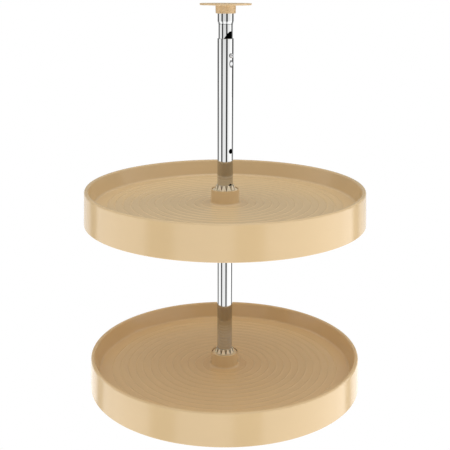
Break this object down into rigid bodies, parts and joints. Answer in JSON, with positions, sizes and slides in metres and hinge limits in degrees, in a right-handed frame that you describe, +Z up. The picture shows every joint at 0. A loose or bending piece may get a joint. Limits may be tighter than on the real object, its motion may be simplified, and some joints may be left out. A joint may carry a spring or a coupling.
{
  "type": "corner cabinet carousel",
  "caption": "Full-circle two-tier carousel for a kitchen corner cabinet: round rimmed polymer trays that turn on a telescoping chromed steel post between a floor and a ceiling plate.",
  "frame": {"origin": "centre of the floor bracket's underside, on the post's axis, at the level of the cabinet floor", "axes": "+Z up along the post; -Y is the front, the side seen in the picture; +X is to the right seen from the front"},
  "size_m": [0.4572, 0.4572, 0.6604],
  "materials": {
    "polymer": "satin moulded polymer, tan",
    "chrome": "bright chrome plate on steel tube",
    "steel": "zinc-bright steel",
    "nylon": "natural nylon",
    "acetal": "tan acetal, smooth",
    "black_plastic": "black nylon"
  },
  "bodies": {
    "base": {"bottom_bracket": "polymer"},
    "post": {"outer_tube": "chrome", "bottom_end_plug": "nylon", "slot_key": "steel", "clamp_nut_plate": "steel"},
    "lock_screw": {"tube_lock_screw": "steel"},
    "inner_post": {"inner_tube": "chrome", "inner_tube_end_cap": "black_plastic", "top_end_plug": "nylon"},
    "ceiling_plate": {"top_bracket": "polymer"},
    "lower_carrier": {"lower_hub_sleeve": "nylon", "lower_thrust_washer": "black_plastic"},
    "lower_shelf": {"lower_shelf_tray": "polymer", "lower_hub_bushing": "acetal"},
    "lower_pin": {"lower_support_pin": "steel"},
    "upper_carrier": {"upper_hub_sleeve": "nylon", "upper_thrust_washer": "black_plastic"},
    "upper_shelf": {"upper_shelf_tray": "polymer", "upper_hub_bushing": "acetal"},
    "upper_pin": {"upper_support_pin": "steel"}
  },
  "joints": [
    {"name": "post_turn", "type": "hinge", "parent": "base", "child": "post", "pos_m": [0, 0, 0.005], "axis": [0, 0, 1], "continuous": true},
    {"name": "telescope", "type": "slide", "parent": "post", "child": "inner_post", "axis": [0, 0, 1], "range_m": [-0.019, 0.123]},
    {"name": "ceiling_plate_turn", "type": "hinge", "parent": "inner_post", "child": "ceiling_plate", "pos_m": [0, 0, 0.655], "axis": [0, 0, 1], "continuous": true},
    {"name": "lock_screw_turn", "type": "hinge", "parent": "post", "child": "lock_screw", "pos_m": [0.00866, -0.00929, 0.5822], "axis": [0.682, -0.7314, 0], "range_deg": [0, 720]},
    {"name": "lower_shelf_lift", "type": "slide", "parent": "post", "child": "lower_carrier", "axis": [0, 0, 1], "range_m": [0, 0.22]},
    {"name": "lower_shelf_spin", "type": "hinge", "parent": "lower_carrier", "child": "lower_shelf", "pos_m": [0, 0, 0.0452], "axis": [0, 0, 1], "continuous": true},
    {"name": "lower_pin_pull", "type": "slide", "parent": "post", "child": "lower_pin", "axis": [0.682, -0.7314, 0], "range_m": [0, 0.045]},
    {"name": "upper_shelf_lift", "type": "slide", "parent": "post", "child": "upper_carrier", "axis": [0, 0, 1], "range_m": [0, 0.185]},
    {"name": "upper_shelf_spin", "type": "hinge", "parent": "upper_carrier", "child": "upper_shelf", "pos_m": [0, 0, 0.3309], "axis": [0, 0, 1], "continuous": true},
    {"name": "upper_pin_pull", "type": "slide", "parent": "post", "child": "upper_pin", "axis": [0.682, -0.7314, 0], "range_m": [0, 0.045]}
  ]
}
